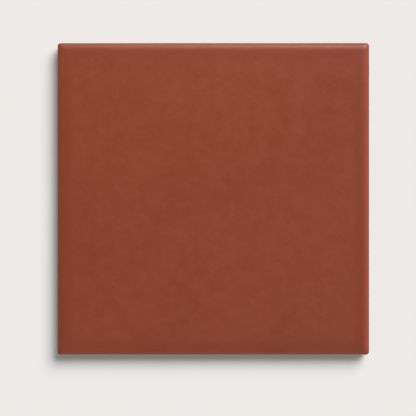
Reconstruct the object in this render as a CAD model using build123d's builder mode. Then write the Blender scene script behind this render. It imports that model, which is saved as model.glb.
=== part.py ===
from build123d import *
import os

# Square cushion-edged ceramic tile, pressed and fired in one piece.
# Millimetres. The tile lies flat with its glazed face up: the origin is the middle of the plane that the
# back stands on, +Z points out of the face, and X and Y run square to the joint faces.

# Overall sizes
tile_side = 150.0           # across two opposite joint faces, the widest part of the tile
tile_thickness = 8.0        # from the feet of the key ribs to the flat of the face
plan_corner_radius = 1.5    # the four upright corners, seen from above

# Cushioned edge of the face
cushion_width = 3.8         # how far in from the joint face the roll-over starts
cushion_drop = 1.5          # how far the roll-over has fallen where it meets the joint face
hip_radius = 1.5            # rounding of the hip where two rolled edges meet at a corner of the face
arris_radius = 0.8          # rounding between the roll-over and the joint face

# Edge below the roll-over
joint_face_height = 3.0     # upright band that meets the next tile, with the arris still sharp
wall_lean = 6.0             # degrees that the wall below the band leans in, so the tile leaves its mould
foot_chamfer = 0.7          # bevel round the foot of the wall

# Key relief on the back, a square waffle that grips the adhesive
key_count = 8               # pockets along one side, an even number so that two ribs cross at the middle
key_border = 10.5           # plain margin from the joint face to the first pocket
key_rib_width = 3.0         # at the foot of a rib
key_depth = 0.8             # from the foot of a rib to the floor of a pocket
key_wall_lean = 30.0        # degrees that the sides of a pocket lean

# The roll-over is an arc that leaves the face level and falls by the drop over the width
cushion_radius = (cushion_width**2 + cushion_drop**2) / (2 * cushion_drop)
collar_height = tile_thickness - cushion_drop - joint_face_height

# The space under the upper die, whose rolled edge runs on past the tile until it is upright
die_side = tile_side + 2 * (cushion_radius - cushion_width)

# The pockets share what the border and the ribs between them leave of the back
key_field = tile_side - 2 * key_border
key_pitch = (key_field + key_rib_width) / key_count
key_pocket_side = key_pitch - key_rib_width

height_tolerance = 1e-4


def stands_at(face, height):
    return abs(face.bounding_box().min.Z - height) < height_tolerance


with BuildPart() as die_space:
    with BuildSketch(Plane.XY.offset(-cushion_radius)):
        Rectangle(die_side, die_side)
    extrude(amount=cushion_radius + tile_thickness)
    fillet(die_space.faces().sort_by(Axis.Z)[-1].edges(), radius=cushion_radius)
    hips = die_space.edges().filter_by(GeomType.ELLIPSE)
    fillet(hips, radius=hip_radius)

with BuildPart() as tile:
    # Upright band from the collar up, and the leaning wall from the collar down to the back
    with BuildSketch(Plane.XY.offset(collar_height)) as collar_outline:
        RectangleRounded(tile_side, tile_side, plan_corner_radius)
    extrude(amount=tile_thickness - collar_height)
    extrude(collar_outline.sketch, amount=-collar_height, taper=wall_lean)

    # Foot bevel
    chamfer(tile.faces().sort_by(Axis.Z)[0].edges(), length=foot_chamfer)

    # Cushion pressed by the die, then the arris where it meets the joint faces
    add(die_space.part, mode=Mode.INTERSECT)
    joint_faces = tile.faces().filter_by(lambda face: stands_at(face, collar_height))
    band_outline = joint_faces.edges().filter_by(Axis.Z, reverse=True)
    arris = band_outline.filter_by_position(Axis.Z, collar_height + height_tolerance, tile_thickness)
    fillet(arris, radius=arris_radius)

    # Key pockets, narrowing as they go in
    with BuildSketch(Plane.XY):
        with GridLocations(key_pitch, key_pitch, key_count, key_count):
            Rectangle(key_pocket_side, key_pocket_side)
    extrude(amount=key_depth, taper=key_wall_lean, mode=Mode.SUBTRACT)

tile.part.label = "tile"
os.makedirs("parts", exist_ok=True)
export_step(tile.part, "parts/tile.step")
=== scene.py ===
import math

import bmesh
import bpy
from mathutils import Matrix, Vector


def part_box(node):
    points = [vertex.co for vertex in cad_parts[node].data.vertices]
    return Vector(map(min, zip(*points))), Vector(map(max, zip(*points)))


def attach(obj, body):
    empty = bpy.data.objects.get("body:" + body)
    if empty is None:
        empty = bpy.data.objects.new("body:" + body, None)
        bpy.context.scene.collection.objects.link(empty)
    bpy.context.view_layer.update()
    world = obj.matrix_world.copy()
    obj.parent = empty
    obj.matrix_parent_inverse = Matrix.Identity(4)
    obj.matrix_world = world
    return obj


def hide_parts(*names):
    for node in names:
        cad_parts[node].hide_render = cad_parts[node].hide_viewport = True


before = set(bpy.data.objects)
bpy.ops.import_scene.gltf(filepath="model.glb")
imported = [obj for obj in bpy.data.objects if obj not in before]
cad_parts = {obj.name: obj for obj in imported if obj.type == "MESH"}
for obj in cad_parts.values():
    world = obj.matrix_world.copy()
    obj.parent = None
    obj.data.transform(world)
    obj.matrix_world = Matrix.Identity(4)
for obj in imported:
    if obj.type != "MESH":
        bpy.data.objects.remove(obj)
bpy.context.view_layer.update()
tile_low, tile_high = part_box("tile")

bl_info = {
    "name": "Cushion-edged ceramic tile",
    "version": (1, 0, 0),
    "blender": (4, 5, 0),
    "location": "3D View > Sidebar > Tile",
    "description": "Models one pressed, glazed and fired tile on its CAD frame, in a plain studio",
    "category": "Object",
}

MM = 0.001
PLACE_TOLERANCE = 0.002 * MM

# How far the rounded lip of the glaze falls below the glaze line, in thicknesses of the glaze
LIP_BELLY_FALL = 0.6
LIP_END_FALL = 0.9


# Properties that a user would change

def number(name, description, default, **more):
    return bpy.props.FloatProperty(name=name, description=description, default=default, **more)


def length(name, description, default):
    return number(name, description, default, min=0.0, precision=5, unit="LENGTH", subtype="DISTANCE")


def angle(name, description, degrees):
    return number(name, description, math.radians(degrees), unit="ROTATION", subtype="ANGLE")


def share(name, description, default):
    return number(name, description, default, min=0.0, max=1.0, precision=3, subtype="FACTOR")


def level(name, description, default):
    return number(name, description, default, min=0.0, precision=3)


def whole_number(name, description, default, least):
    return bpy.props.IntProperty(name=name, description=description, default=default, min=least)


def colour(name, description, default):
    return bpy.props.FloatVectorProperty(
        name=name, description=description, default=default, size=3, min=0.0, max=1.0, subtype="COLOR"
    )


class TileSizes(bpy.types.PropertyGroup):
    """Sizes of the pressed tile and of its glaze"""

    side: length("Side", "Across two opposite joint faces", tile_high.x - tile_low.x)
    thickness: length("Thickness", "From the rib feet to the flat of the face", tile_high.z - tile_low.z)
    corner_radius: length("Corner radius", "Rounding of the four upright corners", 1.5 * MM)
    hip_radius: length("Hip radius", "Rounding of a corner of the face where its hip starts", 4.5 * MM)
    lead_width: length("Lead width", "How far in from the joint face the face starts to fall", 5.4 * MM)
    lead_slope: angle("Lead slope", "How far the face has tipped where the roll-over starts", 5.5)
    roll_width: length("Roll width", "How far in from the joint face the roll-over starts", 2.8 * MM)
    cushion_drop: length("Cushion drop", "How far lead and roll-over fall together", 1.5 * MM)
    arris_radius: length("Arris radius", "Rounding between the roll-over and the joint face", 0.8 * MM)
    joint_face_height: length("Joint face height", "Upright band with the arris still sharp", 3.0 * MM)
    wall_lean: angle("Wall lean", "How far the wall below the joint face leans in", 6.0)
    foot_bevel: length("Foot bevel", "Bevel round the foot of the wall", 0.7 * MM)
    glaze_reach: length("Glaze reach", "How far the glaze runs down below the arris", 1.3 * MM)
    glaze_thickness: length("Glaze thickness", "Step from the glaze to the bare body", 0.16 * MM)
    key_count: whole_number("Key pockets", "Pockets along one side", 8, 1)
    key_border: length("Key border", "Plain margin from the joint face to the first pocket", 10.5 * MM)
    key_rib_width: length("Key rib width", "Width at the foot of a rib", 3.0 * MM)
    key_depth: length("Key depth", "From the foot of a rib to the floor of a pocket", 0.8 * MM)
    key_wall_lean: angle("Key wall lean", "How far the sides of a pocket lean", 30.0)
    key_softness: length("Key softness", "Rounding of the pressed edges of a pocket", 0.22 * MM)
    cuts_per_pocket: whole_number("Cuts per pocket", "Mesh divisions along one pocket and its rib", 10, 4)
    kiln_warp: length("Kiln warp", "Slow unevenness of the whole tile after firing", 0.10 * MM)
    glaze_ripple: length("Glaze ripple", "Short unevenness of the molten glaze", 0.010 * MM)
    clay_roughness: length("Clay roughness", "Unevenness of the bare pressed clay", 0.06 * MM)
    glaze_line_wander: length("Glaze line wander", "How far the glaze's lower line wanders", 0.7 * MM)


class TileFinish(bpy.types.PropertyGroup):
    """Colours and gloss of the glaze and of the bare clay"""

    glaze: colour("Glaze", "Satin terracotta red", (0.224, 0.0492, 0.0232))
    glaze_pooled: colour("Pooled glaze", "Thicker glaze inside the rolled edge", (0.2132, 0.0443, 0.0209))
    # Lighter, whiter glaze over the arris: partly thin glaze, partly a painted sheen of the rounded edge
    glaze_thin_and_sheen: colour("Thin glaze", "Glaze drawn thin over the arris", (0.262, 0.0634, 0.0330))
    glaze_clouds: colour("Glaze clouds", "How far the slow clouding strays", (0.0141, 0.0056, 0.0028))
    glaze_speckle: colour("Glaze speckle", "How far the short mottling strays", (0.0219, 0.0101, 0.0072))
    glaze_speck: colour("Glaze speck", "Small dark iron specks", (0.125, 0.0275, 0.0163))
    glaze_roughness: share("Glaze roughness", "Satin, neither glossy nor dead matt", 0.31)
    clay: colour("Clay", "Bare fired red body", (0.390, 0.150, 0.078))
    clay_dark: colour("Dark clay", "Denser or hotter fired patches of the body", (0.300, 0.105, 0.052))
    clay_speck: colour("Clay grit", "Pale grit in the body", (0.560, 0.330, 0.220))
    kiln_dust: colour("Kiln dust", "Pale dust that rib feet pick up in the kiln", (0.560, 0.400, 0.310))
    clay_roughness: share("Clay gloss roughness", "Dry porous clay", 0.92)


class TileStudio(bpy.types.PropertyGroup):
    """The plain floor, the light and the camera"""

    floor: colour("Floor", "Plain pale floor", (0.957, 0.923, 0.898))
    floor_lift: share("Floor lift", "How much paler than its light the floor looks to the camera", 0.05)
    horizon: colour("Horizon", "Surround at the floor's edge, as light as the floor", (0.855, 0.823, 0.799))
    overhead: colour("Overhead", "Dim surround above the tile", (0.115, 0.115, 0.115))
    key_level: level("Key level", "Share of a full light level that the key gives the floor", 0.672)
    key_bearing: angle("Key bearing", "Where the key stands, turned from +X towards +Y", 55.0)
    key_height: angle("Key height", "How high the key stands above the floor", 43.0)
    key_softness: angle("Key softness", "How wide the key looks from the tile", 40.0)
    fill_level: level("Fill level", "Share that the low fill gives the flat of the tile", 0.18)
    fill_bearing: angle("Fill bearing", "Where the low fill stands, turned from +X towards +Y", -46.0)
    fill_height: angle("Fill height", "How high the low fill stands above the floor", 25.0)
    fill_softness: angle("Fill softness", "How wide the low fill looks from the tile", 70.0)
    softbox_level: level("Softbox level", "Share that the softbox gives the middle of the tile", 0.13)
    softbox_height: angle("Softbox height", "How high the softbox stands above the floor", 33.0)
    softbox_distance: length("Softbox distance", "From the middle of the tile to the softbox", 220 * MM)
    softbox_size: length("Softbox size", "Side of the softbox", 160 * MM)
    lens: number("Lens", "Focal length in millimetres", 120.0, min=1.0)
    view_width: length("View width", "Width of floor that the camera sees", 200.2 * MM)
    view_aim: bpy.props.FloatVectorProperty(
        name="View aim", description="Point that the camera looks down on", size=3,
        default=(-2.56 * MM, -4.39 * MM, 6.0 * MM), unit="LENGTH", subtype="TRANSLATION"
    )


# Working with meshes

def only_selected(piece):
    bpy.ops.object.select_all(action="DESELECT")
    piece.select_set(True)
    bpy.context.view_layer.objects.active = piece


def edit(piece):
    only_selected(piece)
    bpy.ops.object.mode_set(mode="EDIT")


def leave_edit():
    bpy.ops.object.mode_set(mode="OBJECT")


def select_items(piece, kind, wanted):
    """Selects the edges or the faces that are wanted, and nothing else"""
    bpy.ops.mesh.select_mode(type=kind)
    bpy.ops.mesh.select_all(action="DESELECT")
    mesh = bmesh.from_edit_mesh(piece.data)
    items = {"EDGE": mesh.edges, "FACE": mesh.faces}[kind]
    for item in items:
        if wanted(item):
            item.select_set(True)
    bmesh.update_edit_mesh(piece.data)


def turn_faces_out():
    bpy.ops.mesh.select_all(action="SELECT")
    bpy.ops.mesh.normals_make_consistent(inside=False)


def apply_modifier(piece, name):
    only_selected(piece)
    bpy.ops.object.modifier_apply(modifier=name)


def near(value, target):
    return abs(value - target) < PLACE_TOLERANCE


def weigh(piece, name, weight_at):
    group = piece.vertex_groups.new(name=name)
    for vertex in piece.data.vertices:
        weight = weight_at(vertex.co)
        if weight > 0.0:
            group.add([vertex.index], weight, "REPLACE")


def ramp(value, start, end):
    """0 at start, 1 at end and straight between them"""
    return min(1.0, max(0.0, (value - start) / (end - start)))


def make_uneven(piece, name, direction, wave, depth, mid_level=1.0):
    """Moves the vertices of the group of that name by a cloud pattern, only inwards at a mid_level of 1"""
    clouds = bpy.data.textures.new(name, type="CLOUDS")
    clouds.noise_scale = wave
    clouds.noise_depth = 1
    uneven = piece.modifiers.new(name, "DISPLACE")
    uneven.texture = clouds
    uneven.texture_coords = "LOCAL"
    uneven.direction = direction
    uneven.vertex_group = name
    uneven.mid_level = mid_level
    uneven.strength = depth
    apply_modifier(piece, name)


# Section of the edge, from the flat of the face down to the foot

class CushionSection:
    """The arcs of the rolled edge, as insets from the joint face and heights above the bed"""

    def __init__(self, sizes):
        # The lead is a slow arc that leaves the face level
        self.lead_radius = (sizes.lead_width - sizes.roll_width) / math.sin(sizes.lead_slope)
        lead_drop = self.lead_radius * (1 - math.cos(sizes.lead_slope))

        # The roll takes over at the lead's slope and falls by the rest of the drop
        mean_slope = math.atan((sizes.cushion_drop - lead_drop) / sizes.roll_width)
        end_slope = 2 * mean_slope - sizes.lead_slope
        self.roll_radius = sizes.roll_width / (math.sin(end_slope) - math.sin(sizes.lead_slope))
        self.roll_inset = sizes.roll_width + self.roll_radius * math.sin(sizes.lead_slope)
        self.roll_height = sizes.thickness - lead_drop - self.roll_radius * math.cos(sizes.lead_slope)

        # The arris touches the roll and the upright joint face
        reach = self.roll_radius - sizes.arris_radius
        across = self.roll_inset - sizes.arris_radius
        self.turn_over = math.asin(across / reach)
        self.arris_height = self.roll_height + math.sqrt(reach**2 - across**2)


def arris_centre_height(sizes):
    return CushionSection(sizes).arris_height


def glaze_line_height(sizes):
    return arris_centre_height(sizes) - sizes.glaze_reach


def collar_height(sizes):
    return sizes.thickness - sizes.cushion_drop - sizes.joint_face_height


def edge_section(sizes):
    """Inset from the joint face and height of each ring of the edge"""
    lead_steps = 4
    roll_steps = 8
    arris_steps = 5
    wall_steps = 3
    cushion = CushionSection(sizes)
    collar = collar_height(sizes)
    line = glaze_line_height(sizes)
    bare = sizes.glaze_thickness
    lip_belly = 0.3 * bare
    rings = []

    # Lead, roll and arris
    for step in range(1, lead_steps + 1):
        slope = sizes.lead_slope * step / lead_steps
        inset = sizes.lead_width - cushion.lead_radius * math.sin(slope)
        fall = cushion.lead_radius * (1 - math.cos(slope))
        rings.append((inset, sizes.thickness - fall))
    for step in range(1, roll_steps + 1):
        slope = sizes.lead_slope + (cushion.turn_over - sizes.lead_slope) * step / roll_steps
        inset = cushion.roll_inset - cushion.roll_radius * math.sin(slope)
        rise = cushion.roll_radius * math.cos(slope)
        rings.append((inset, cushion.roll_height + rise))
    for step in range(1, arris_steps + 1):
        slope = cushion.turn_over + (math.pi / 2 - cushion.turn_over) * step / arris_steps
        inset = sizes.arris_radius * (1 - math.sin(slope))
        rise = sizes.arris_radius * math.cos(slope)
        rings.append((inset, cushion.arris_height + rise))

    # Glazed part of the joint face, and the rounded lip where the glaze stops
    rings.append((0.0, (cushion.arris_height + line) / 2))
    rings.append((0.0, line))
    rings.append((lip_belly, line - bare * LIP_BELLY_FALL))
    rings.append((bare, line - bare * LIP_END_FALL))

    # Bare part of the joint face, the leaning wall and its foot
    rings.append((bare, (line + collar) / 2))
    rings.append((bare, collar))
    for step in range(1, wall_steps + 1):
        height = collar + (sizes.foot_bevel - collar) * step / wall_steps
        rings.append((bare + (collar - height) * math.tan(sizes.wall_lean), height))
    rings.append((collar * math.tan(sizes.wall_lean) + sizes.foot_bevel, 0.0))
    return rings


# The tile

def press_face(sizes):
    """The flat of the face, with the rolled edge and the wall drawn down from it ring by ring"""
    half = sizes.side / 2
    flat_half = half - sizes.lead_width
    cuts = sizes.key_count * sizes.cuts_per_pocket
    bpy.ops.object.select_all(action="DESELECT")
    bpy.ops.mesh.primitive_grid_add(
        x_subdivisions=cuts, y_subdivisions=cuts, size=2 * flat_half, location=(0, 0, sizes.thickness)
    )
    tile = bpy.context.active_object
    tile.name = "glazed_tile"
    tile.data.name = "glazed_tile"
    bpy.ops.object.transform_apply(location=True, rotation=True, scale=True)
    edit(tile)
    select_items(tile, "EDGE", lambda edge: edge.is_boundary)
    half_now = flat_half
    height_now = sizes.thickness
    for inset, height in edge_section(sizes):
        bpy.ops.mesh.extrude_edges_move(TRANSFORM_OT_translate={"value": (0, 0, height - height_now)})
        growth = (half - inset) / half_now
        bpy.ops.transform.resize(value=(growth, growth, 1), center_override=(0, 0, 0))
        half_now = half - inset
        height_now = height
    leave_edit()
    return tile


def mould_key(sizes):
    """The back's waffle: one pocket with half a rib round it, then an array of them"""
    softness_segments = 2
    pockets = sizes.key_count
    pitch = (sizes.side - 2 * sizes.key_border + sizes.key_rib_width) / pockets
    first = -pitch * (pockets - 1) / 2
    pocket_half = (pitch - sizes.key_rib_width) / 2
    cuts = sizes.cuts_per_pocket
    inner_half = pitch / 2 - pitch / cuts
    bpy.ops.object.select_all(action="DESELECT")
    bpy.ops.mesh.primitive_grid_add(
        x_subdivisions=cuts, y_subdivisions=cuts, size=pitch, location=(first, first, 0)
    )
    key = bpy.context.active_object
    bpy.ops.object.transform_apply(location=True, rotation=True, scale=True)
    edit(key)
    bpy.ops.mesh.select_all(action="SELECT")
    bpy.ops.mesh.flip_normals()

    def off_middle(point):
        return max(abs(point.x - first), abs(point.y - first))

    # The pocket's own faces are brought to its size and pressed in
    select_items(key, "FACE", lambda face: off_middle(face.calc_center_median()) < inner_half)
    growth = pocket_half / inner_half
    bpy.ops.transform.resize(value=(growth, growth, 1), center_override=(first, first, 0))
    lean_in = sizes.key_depth * math.tan(sizes.key_wall_lean)
    bpy.ops.mesh.inset(thickness=lean_in, depth=-sizes.key_depth, use_even_offset=True)

    def lies_on(edge, height, half):
        return all(near(end.co.z, height) and near(off_middle(end.co), half) for end in edge.verts)

    def on_pocket_edge(edge):
        return lies_on(edge, 0, pocket_half) or lies_on(edge, sizes.key_depth, pocket_half - lean_in)

    select_items(key, "EDGE", on_pocket_edge)
    bpy.ops.mesh.bevel(offset=sizes.key_softness, segments=softness_segments, affect="EDGES")
    leave_edit()
    for name, step in (("along_x", (pitch, 0, 0)), ("along_y", (0, pitch, 0))):
        row = key.modifiers.new(name, "ARRAY")
        row.count = pockets
        row.use_relative_offset = False
        row.use_constant_offset = True
        row.constant_offset_displace = step
        row.use_merge_vertices = True
        row.merge_threshold = PLACE_TOLERANCE
        apply_modifier(key, name)
    return key


def close_back(tile, key):
    """Joins the waffle to the tile and bridges the plain border between them"""
    border_cuts = 4
    only_selected(tile)
    key.select_set(True)
    bpy.ops.object.join()
    edit(tile)
    select_items(tile, "EDGE", lambda edge: edge.is_boundary)
    bpy.ops.mesh.bridge_edge_loops(number_cuts=border_cuts, interpolation="LINEAR")
    bpy.ops.mesh.select_all(action="SELECT")
    bpy.ops.mesh.remove_doubles(threshold=PLACE_TOLERANCE)
    turn_faces_out()
    leave_edit()


def round_corners(tile, sizes):
    """Rounds the hips and the upright corners in one run, as a ball that shrinks on its way down"""
    corner_segments = 6
    right_angle = math.pi / 2
    flat_half = sizes.side / 2 - sizes.lead_width
    arris = arris_centre_height(sizes)

    def on_corner(point):
        return near(abs(point.x), abs(point.y)) and abs(point.x) > flat_half - PLACE_TOLERANCE

    def set_back(edge):
        """Share of the corner radius by which the ball sets back the two faces of a hip"""
        face_angle = edge.calc_face_angle()
        uprightness = face_angle / right_angle
        ball = sizes.hip_radius + (sizes.corner_radius - sizes.hip_radius) * uprightness
        return ball * math.tan(face_angle / 2) / sizes.corner_radius

    edit(tile)
    mesh = bmesh.from_edit_mesh(tile.data)
    weights = mesh.edges.layers.float.new("bevel_weight_edge")
    for edge in mesh.edges:
        heights = [vertex.co.z for vertex in edge.verts]
        if max(heights) > PLACE_TOLERANCE and all(on_corner(vertex.co) for vertex in edge.verts):
            on_hip = min(heights) > arris - PLACE_TOLERANCE
            edge[weights] = min(1.0, set_back(edge)) if on_hip else 1.0
    bmesh.update_edit_mesh(tile.data)
    leave_edit()
    rounding = tile.modifiers.new("rounding", "BEVEL")
    rounding.limit_method = "WEIGHT"
    rounding.width = sizes.corner_radius
    rounding.segments = corner_segments
    rounding.use_clamp_overlap = False
    apply_modifier(tile, "rounding")
    edit(tile)
    turn_faces_out()
    leave_edit()


def part_finishes(tile, sizes, glaze, clay):
    """Glaze down to the end of its lip, bare clay on the wall and the back"""
    lip_end = glaze_line_height(sizes) - sizes.glaze_thickness * LIP_END_FALL
    tile.data.materials.append(glaze)
    tile.data.materials.append(clay)
    edit(tile)
    select_items(tile, "FACE", lambda face: face.calc_center_median().z < lip_end)
    tile.active_material_index = 1
    bpy.ops.object.material_slot_assign()
    leave_edit()


def fire(tile, sizes):
    """The unevenness that pressing, glazing and firing leave"""
    line_wave = 9 * MM
    warp_wave = 45 * MM
    ripple_wave = 7 * MM
    roughness_wave = 2.5 * MM
    line = glaze_line_height(sizes)
    arris = arris_centre_height(sizes)
    collar = collar_height(sizes)
    foot = sizes.foot_bevel
    weigh(tile, "glaze_line", lambda at: ramp(at.z, collar, line) * (1 - ramp(at.z, line, arris)))
    weigh(tile, "kiln_warp", lambda at: ramp(at.z, foot, collar))
    weigh(tile, "glaze_ripple", lambda at: ramp(at.z, line, arris))
    weigh(tile, "clay_roughness", lambda at: ramp(at.z, 0, foot) * (1 - ramp(at.z, collar, line)))
    make_uneven(tile, "glaze_line", "Z", line_wave, sizes.glaze_line_wander, mid_level=0.5)
    make_uneven(tile, "kiln_warp", "NORMAL", warp_wave, sizes.kiln_warp)
    make_uneven(tile, "glaze_ripple", "NORMAL", ripple_wave, sizes.glaze_ripple)
    make_uneven(tile, "clay_roughness", "NORMAL", roughness_wave, sizes.clay_roughness)
    tile.vertex_groups.clear()


# Working with nodes

def feed(tree, source, target):
    """Links an output to an input, or sets the input to a plain value"""
    if isinstance(source, bpy.types.NodeSocket):
        tree.links.new(source, target)
    else:
        target.default_value = source


def calc(tree, operation, first, second=0.0, third=None, clamp=False):
    node = tree.nodes.new("ShaderNodeMath")
    node.operation = operation
    node.use_clamp = clamp
    feed(tree, first, node.inputs[0])
    feed(tree, second, node.inputs[1])
    if third is not None:
        feed(tree, third, node.inputs[2])
    return node.outputs[0]


def product(tree, first, second):
    return calc(tree, "MULTIPLY", first, second)


def opposite(tree, value):
    return calc(tree, "SUBTRACT", 1.0, value)


def ease(tree, value, start, end):
    """0 up to start, 1 from end, and a smooth step between them"""
    node = tree.nodes.new("ShaderNodeMapRange")
    node.interpolation_type = "SMOOTHSTEP"
    feed(tree, value, node.inputs["Value"])
    node.inputs["From Min"].default_value = start
    node.inputs["From Max"].default_value = end
    return node.outputs["Result"]


def blend(tree, amount, under, over):
    """Mixes two colours, at the sockets that the node has for colours"""
    node = tree.nodes.new("ShaderNodeMix")
    node.data_type = "RGBA"
    feed(tree, amount, node.inputs[0])
    feed(tree, under, node.inputs[6])
    feed(tree, over, node.inputs[7])
    return node.outputs[2]


def paint(value):
    return (value[0], value[1], value[2], 1.0)


def noise(tree, place, size, detail, roughness=0.5):
    """Noise whose features are about size metres across; size may be a socket"""
    node = tree.nodes.new("ShaderNodeTexNoise")
    tree.links.new(place, node.inputs["Vector"])
    feed(tree, calc(tree, "DIVIDE", 1.0, size), node.inputs["Scale"])
    node.inputs["Detail"].default_value = detail
    node.inputs["Roughness"].default_value = roughness
    return node.outputs["Fac"]


def axes_of(tree, place):
    node = tree.nodes.new("ShaderNodeSeparateXYZ")
    tree.links.new(place, node.inputs[0])
    return node.outputs


def start_group(name, inputs, outputs):
    """A node group that takes a place and some sizes and shares, and puts out values"""
    tree = bpy.data.node_groups.new(name, "ShaderNodeTree")
    tree.interface.new_socket("Place", in_out="INPUT", socket_type="NodeSocketVector")
    for socket_name, default in inputs.items():
        socket = tree.interface.new_socket(socket_name, in_out="INPUT", socket_type="NodeSocketFloat")
        socket.default_value = default
    for socket_name in outputs:
        tree.interface.new_socket(socket_name, in_out="OUTPUT", socket_type="NodeSocketFloat")
    return tree, tree.nodes.new("NodeGroupInput").outputs, tree.nodes.new("NodeGroupOutput").inputs


def fired_mottle_group():
    """Slow clouds, short mottling and small specks of a fired surface, each from 0 to 1"""
    noise_span = (0.25, 0.75)
    speck_span = (0.55, 1.0)
    speck_crispness = 20.0
    tree, given, out = start_group(
        "fired_mottle",
        {"Cloud Size": 30 * MM, "Mottle Size": 8 * MM, "Speck Size": 3 * MM, "Speck Radius": 0.08},
        ["Clouds", "Mottle", "Specks"],
    )
    clouds = noise(tree, given["Place"], given["Cloud Size"], detail=3.0, roughness=0.7)
    tree.links.new(ease(tree, clouds, *noise_span), out["Clouds"])
    mottle = noise(tree, given["Place"], given["Mottle Size"], detail=4.0, roughness=0.8)
    tree.links.new(ease(tree, mottle, *noise_span), out["Mottle"])

    # Each cell draws a size for its speck, and many draw none
    cells = tree.nodes.new("ShaderNodeTexVoronoi")
    tree.links.new(given["Place"], cells.inputs["Vector"])
    feed(tree, calc(tree, "DIVIDE", 1.0, given["Speck Size"]), cells.inputs["Scale"])
    draw = tree.nodes.new("ShaderNodeSeparateColor")
    tree.links.new(cells.outputs["Color"], draw.inputs["Color"])
    reach = product(tree, given["Speck Radius"], ease(tree, draw.outputs["Red"], *speck_span))
    inside = calc(tree, "SUBTRACT", reach, cells.outputs["Distance"])
    tree.links.new(calc(tree, "MULTIPLY", inside, speck_crispness, clamp=True), out["Specks"])
    return tree


def fired_grain_group():
    """Height of the grain and of the longer ripple of a fired surface"""
    tree, given, out = start_group(
        "fired_grain",
        {"Grain Size": 0.6 * MM, "Ripple Size": 4 * MM, "Ripple Share": 0.5},
        ["Height"],
    )
    grain = noise(tree, given["Place"], given["Grain Size"], detail=2.0, roughness=0.6)
    ripple = noise(tree, given["Place"], given["Ripple Size"], detail=1.0)
    grain_part = product(tree, grain, opposite(tree, given["Ripple Share"]))
    height = calc(tree, "MULTIPLY_ADD", ripple, given["Ripple Share"], grain_part)
    tree.links.new(height, out["Height"])
    return tree


def use_group(tree, group, place, **values):
    node = tree.nodes.new("ShaderNodeGroup")
    node.node_tree = group
    tree.links.new(place, node.inputs["Place"])
    for name, value in values.items():
        node.inputs[name.replace("_", " ").title()].default_value = value
    return node.outputs


def start_material(name):
    material = bpy.data.materials.new(name)
    material.use_nodes = True
    tree = material.node_tree
    return material, tree, tree.nodes["Principled BSDF"]


def object_place(tree):
    return tree.nodes.new("ShaderNodeTexCoord").outputs["Object"]


def add_bump(tree, surface, height, depth, strength):
    bump = tree.nodes.new("ShaderNodeBump")
    bump.inputs["Strength"].default_value = strength
    bump.inputs["Distance"].default_value = depth
    tree.links.new(height, bump.inputs["Height"])
    tree.links.new(bump.outputs["Normal"], surface.inputs["Normal"])


def glaze_material(finish, sizes, mottle_group, grain_group):
    """Satin glaze, mottled on the flat, pooled inside the roll-over, and thin over the arris, where it is
    made lighter and whiter with a painted sheen
    """
    edge_wander = 1.6 * MM
    wander_size = 12 * MM
    mottle_share = 0.5
    pool_rise = (2.4 * MM, 4.0 * MM)
    pool_fade = (5.0 * MM, 8.6 * MM)
    # Over the arris the thin glaze also carries a painted sheen
    thin_and_sheen_fade = (1.0 * MM, 2.6 * MM)
    thin_and_sheen_share = 0.8
    bead_height = 0.9 * MM
    bead_share = 0.7
    speck_share = 0.30
    gloss_level = 0.31
    roughness_spread = 0.05
    bump_depth = 0.06 * MM
    bump_strength = 0.8
    material, tree, surface = start_material("terracotta_glaze")
    place = object_place(tree)
    axes = axes_of(tree, place)
    mottle = use_group(
        tree, mottle_group, place,
        cloud_size=40 * MM, mottle_size=5 * MM, speck_size=4 * MM, speck_radius=0.20
    )

    # Distance in from the joint faces, which wanders as the flow of the glaze does
    off_middle = calc(tree, "MAXIMUM", calc(tree, "ABSOLUTE", axes["X"]), calc(tree, "ABSOLUTE", axes["Y"]))
    from_edge = calc(tree, "SUBTRACT", (sizes.side - edge_wander) / 2, off_middle)
    wander = noise(tree, place, wander_size, detail=2.0)
    from_edge = calc(tree, "MULTIPLY_ADD", wander, edge_wander, from_edge)

    # Clouds and mottling of the flat
    glaze = Vector(finish.glaze)
    clouds = Vector(finish.glaze_clouds)
    speckle = Vector(finish.glaze_speckle)
    clouded = blend(tree, mottle["Clouds"], paint(glaze - clouds), paint(glaze + clouds))
    mottled = blend(tree, mottle["Mottle"], paint(glaze - speckle), paint(glaze + speckle))
    tone = blend(tree, mottle_share, clouded, mottled)

    # The glaze pools just inside the rolled edge and is drawn thin over the arris; there it is also made
    # lighter and whiter, a painted sheen of the rounded edge
    pool_in = ease(tree, from_edge, *pool_rise)
    pool_out = ease(tree, from_edge, *pool_fade)
    pool = product(tree, pool_in, opposite(tree, pool_out))
    tone = blend(tree, pool, tone, paint(finish.glaze_pooled))
    thin_and_sheen = opposite(tree, ease(tree, from_edge, *thin_and_sheen_fade))
    tone = blend(tree, product(tree, thin_and_sheen, thin_and_sheen_share), tone, paint(finish.glaze_thin_and_sheen))

    # A darker bead hangs along its lower line, and fine specks lie all over
    line = glaze_line_height(sizes)
    bead = opposite(tree, ease(tree, axes["Z"], line, line + bead_height))
    tone = blend(tree, product(tree, bead, bead_share), tone, paint(finish.glaze_pooled))
    tone = blend(tree, product(tree, mottle["Specks"], speck_share), tone, paint(finish.glaze_speck))
    tree.links.new(tone, surface.inputs["Base Color"])

    surface.inputs["Specular IOR Level"].default_value = gloss_level
    smoothest = finish.glaze_roughness - roughness_spread / 2
    rough = calc(tree, "MULTIPLY_ADD", mottle["Mottle"], roughness_spread, smoothest)
    tree.links.new(rough, surface.inputs["Roughness"])
    grain = use_group(tree, grain_group, place, grain_size=0.7 * MM, ripple_size=4 * MM, ripple_share=0.6)
    add_bump(tree, surface, grain["Height"], bump_depth, bump_strength)
    return material


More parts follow.
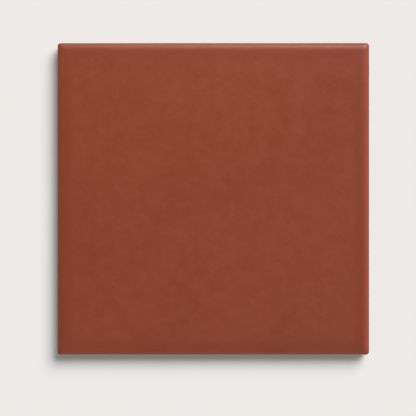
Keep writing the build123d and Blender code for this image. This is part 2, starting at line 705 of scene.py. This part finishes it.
def clay_material(finish, sizes, mottle_group, grain_group):
    """Dry bare clay with pale grit, kiln dust on its feet and a spray of glaze below the glaze line"""
    mottle_share = 0.4
    grit_share = 0.55
    dust_height = 0.2 * MM
    dust_size = 5 * MM
    dust_span = (0.36, 0.70)
    dust_share = 0.4
    spray_reach = 1.8 * MM
    drop_size = 0.7 * MM
    drop_span = (0.5, 0.62)
    spray_share = 0.8
    spray_smoothing = 0.4
    gloss_level = 0.25
    bump_depth = 0.22 * MM
    bump_strength = 1.0
    material, tree, surface = start_material("bare_red_clay")
    place = object_place(tree)
    axes = axes_of(tree, place)
    mottle = use_group(
        tree, mottle_group, place,
        cloud_size=30 * MM, mottle_size=4 * MM, speck_size=1.6 * MM, speck_radius=0.16
    )
    clouded = blend(tree, mottle["Clouds"], paint(finish.clay_dark), paint(finish.clay))
    mottled = blend(tree, mottle["Mottle"], paint(finish.clay_dark), paint(finish.clay))
    tone = blend(tree, mottle_share, clouded, mottled)
    tone = blend(tree, product(tree, mottle["Specks"], grit_share), tone, paint(finish.clay_speck))

    # Pale kiln dust on the feet of the ribs
    low = opposite(tree, ease(tree, axes["Z"], 0.0, dust_height))
    patches = ease(tree, noise(tree, place, dust_size, detail=6.0, roughness=0.8), *dust_span)
    dust = product(tree, product(tree, low, patches), dust_share)
    tone = blend(tree, dust, tone, paint(finish.kiln_dust))

    # A spray of glaze under the glaze line
    line = glaze_line_height(sizes)
    close_to_line = ease(tree, axes["Z"], line - spray_reach, line)
    drops = ease(tree, noise(tree, place, drop_size, detail=2.0, roughness=0.6), *drop_span)
    spray = product(tree, product(tree, close_to_line, drops), spray_share)
    tone = blend(tree, spray, tone, paint(finish.glaze))
    tree.links.new(tone, surface.inputs["Base Color"])

    surface.inputs["Specular IOR Level"].default_value = gloss_level
    rough = calc(tree, "MULTIPLY_ADD", spray, -spray_smoothing, finish.clay_roughness)
    tree.links.new(rough, surface.inputs["Roughness"])
    grain = use_group(tree, grain_group, place, grain_size=0.35 * MM, ripple_size=1.6 * MM, ripple_share=0.4)
    add_bump(tree, surface, grain["Height"], bump_depth, bump_strength)
    return material


class OBJECT_OT_glazed_tile(bpy.types.Operator):
    """Models the tile in one piece, with its glaze, its bare wall and the key relief of its back"""

    bl_idname = "object.glazed_tile"
    bl_label = "Glazed Tile"

    def execute(self, context):
        crease = math.radians(38)
        sizes = context.scene.tile_sizes
        finish = context.scene.tile_finish
        mottle_group = fired_mottle_group()
        grain_group = fired_grain_group()
        glaze = glaze_material(finish, sizes, mottle_group, grain_group)
        clay = clay_material(finish, sizes, mottle_group, grain_group)
        tile = press_face(sizes)
        close_back(tile, mould_key(sizes))
        round_corners(tile, sizes)
        part_finishes(tile, sizes, glaze, clay)
        fire(tile, sizes)
        only_selected(tile)
        bpy.ops.object.shade_smooth_by_angle(angle=crease)
        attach(tile, "root")
        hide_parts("tile")
        return {"FINISHED"}


# The studio

def lay_floor(studio):
    radius = 8.0
    sides = 96
    below = 0.05 * MM
    bpy.ops.object.select_all(action="DESELECT")
    bpy.ops.mesh.primitive_circle_add(
        vertices=sides, radius=radius, fill_type="NGON", location=(0, 0, -below)
    )
    floor = bpy.context.active_object
    floor.name = "studio_floor"
    bpy.ops.object.transform_apply(location=True, rotation=True, scale=True)
    material, tree, surface = start_material("plain_pale_floor")
    surface.inputs["Base Color"].default_value = paint(studio.floor)
    surface.inputs["Roughness"].default_value = 1.0
    surface.inputs["Specular IOR Level"].default_value = 0.0

    # Paler to the camera, in mirrors and through glass alone, so that the lamps stay at a plain level
    path = tree.nodes.new("ShaderNodeLightPath").outputs
    seen = calc(tree, "MAXIMUM", path["Is Glossy Ray"], path["Is Transmission Ray"])
    seen = calc(tree, "MAXIMUM", path["Is Camera Ray"], seen)
    surface.inputs["Emission Color"].default_value = paint(studio.floor)
    tree.links.new(product(tree, seen, studio.floor_lift), surface.inputs["Emission Strength"])
    floor.data.materials.append(material)


def hang_surround(studio):
    """Pale at the horizon, where the floor meets it, and dim overhead, where the face would mirror it"""
    pale_up_to = 0.02
    dim_from = 0.5
    world = bpy.data.worlds.new("studio_surround")
    world.use_nodes = True
    tree = world.node_tree
    axes = axes_of(tree, tree.nodes.new("ShaderNodeTexCoord").outputs["Generated"])
    up = ease(tree, axes["Z"], pale_up_to, dim_from)
    shade = blend(tree, up, paint(studio.horizon), paint(studio.overhead))
    tree.links.new(shade, tree.nodes["Background"].inputs["Color"])
    bpy.context.scene.world = world


def flag_off_floor(lamp, tile):
    """Keeps the light of a lamp off everything but the tile"""
    lit = bpy.data.collections.new("lit_by_" + lamp.name)
    lit.objects.link(tile)
    lamp.light_linking.receiver_collection = lit


def place_lamp(kind, name, towards, distance):
    bpy.ops.object.light_add(type=kind, location=towards * distance)
    lamp = bpy.context.active_object
    lamp.name = name
    lamp.rotation_euler = towards.to_track_quat("Z", "Y").to_euler()
    return lamp


def light_soft(name, share_of_level, bearing, height, softness):
    """A broad soft lamp, so far off that it lights all places alike"""
    flat = math.cos(height)
    towards = Vector((flat * math.cos(bearing), flat * math.sin(bearing), math.sin(height)))
    lamp = place_lamp("SUN", name, towards, 1.0)
    # At a full level a white floor renders white
    lamp.data.energy = math.pi * share_of_level / towards.z
    lamp.data.angle = softness
    return lamp


def hang_softbox(studio):
    """A softbox close by the upper edge, so that the light falls off down the tile"""
    towards = Vector((0, math.cos(studio.softbox_height), math.sin(studio.softbox_height)))
    softbox = place_lamp("AREA", "near_softbox", towards, studio.softbox_distance)
    softbox.data.size = studio.softbox_size
    softbox.data.energy = studio.softbox_level * (math.pi * studio.softbox_distance)**2 / towards.z
    softbox.visible_camera = False
    return softbox


def set_camera(studio):
    lens_data = bpy.data.cameras.new("overhead_camera")
    camera = bpy.data.objects.new("overhead_camera", lens_data)
    bpy.context.scene.collection.objects.link(camera)
    lens_data.lens = studio.lens
    distance = studio.view_width * studio.lens / lens_data.sensor_width
    camera.location = Vector(studio.view_aim) + Vector((0, 0, distance))
    bpy.context.scene.camera = camera


class OBJECT_OT_tile_studio(bpy.types.Operator):
    """Lays the floor, sets the light and hangs the camera over the tile"""

    bl_idname = "object.tile_studio"
    bl_label = "Tile Studio"

    def execute(self, context):
        studio = context.scene.tile_studio
        tile = bpy.data.objects["glazed_tile"]
        context.scene.view_settings.view_transform = "Standard"
        lay_floor(studio)
        hang_surround(studio)
        light_soft(
            "soft_key", studio.key_level, studio.key_bearing, studio.key_height, studio.key_softness
        )
        fill = light_soft(
            "low_fill", studio.fill_level, studio.fill_bearing, studio.fill_height, studio.fill_softness
        )
        # A mirror image of the fill would wash out the face in a low view
        fill.visible_glossy = False
        flag_off_floor(fill, tile)
        flag_off_floor(hang_softbox(studio), tile)
        # The plain floor takes no tint from the tile, only its shadow
        tile.visible_diffuse = False
        set_camera(studio)
        return {"FINISHED"}


class VIEW3D_PT_glazed_tile(bpy.types.Panel):
    """The tile's operators and properties"""

    bl_label = "Glazed Tile"
    bl_space_type = "VIEW_3D"
    bl_region_type = "UI"
    bl_category = "Tile"

    def draw(self, context):
        for owner in (context.scene.tile_sizes, context.scene.tile_finish, context.scene.tile_studio):
            column = self.layout.column(align=True)
            for name in owner.__annotations__:
                column.prop(owner, name)
        self.layout.operator(OBJECT_OT_glazed_tile.bl_idname)
        self.layout.operator(OBJECT_OT_tile_studio.bl_idname)


CLASSES = (
    TileSizes,
    TileFinish,
    TileStudio,
    OBJECT_OT_glazed_tile,
    OBJECT_OT_tile_studio,
    VIEW3D_PT_glazed_tile,
)


def register():
    for item in CLASSES:
        bpy.utils.register_class(item)
    bpy.types.Scene.tile_sizes = bpy.props.PointerProperty(type=TileSizes)
    bpy.types.Scene.tile_finish = bpy.props.PointerProperty(type=TileFinish)
    bpy.types.Scene.tile_studio = bpy.props.PointerProperty(type=TileStudio)


def unregister():
    del bpy.types.Scene.tile_studio
    del bpy.types.Scene.tile_finish
    del bpy.types.Scene.tile_sizes
    for item in reversed(CLASSES):
        bpy.utils.unregister_class(item)


def main():
    register()
    bpy.ops.object.glazed_tile()
    bpy.ops.object.tile_studio()


if __name__ == "__main__":
    main()
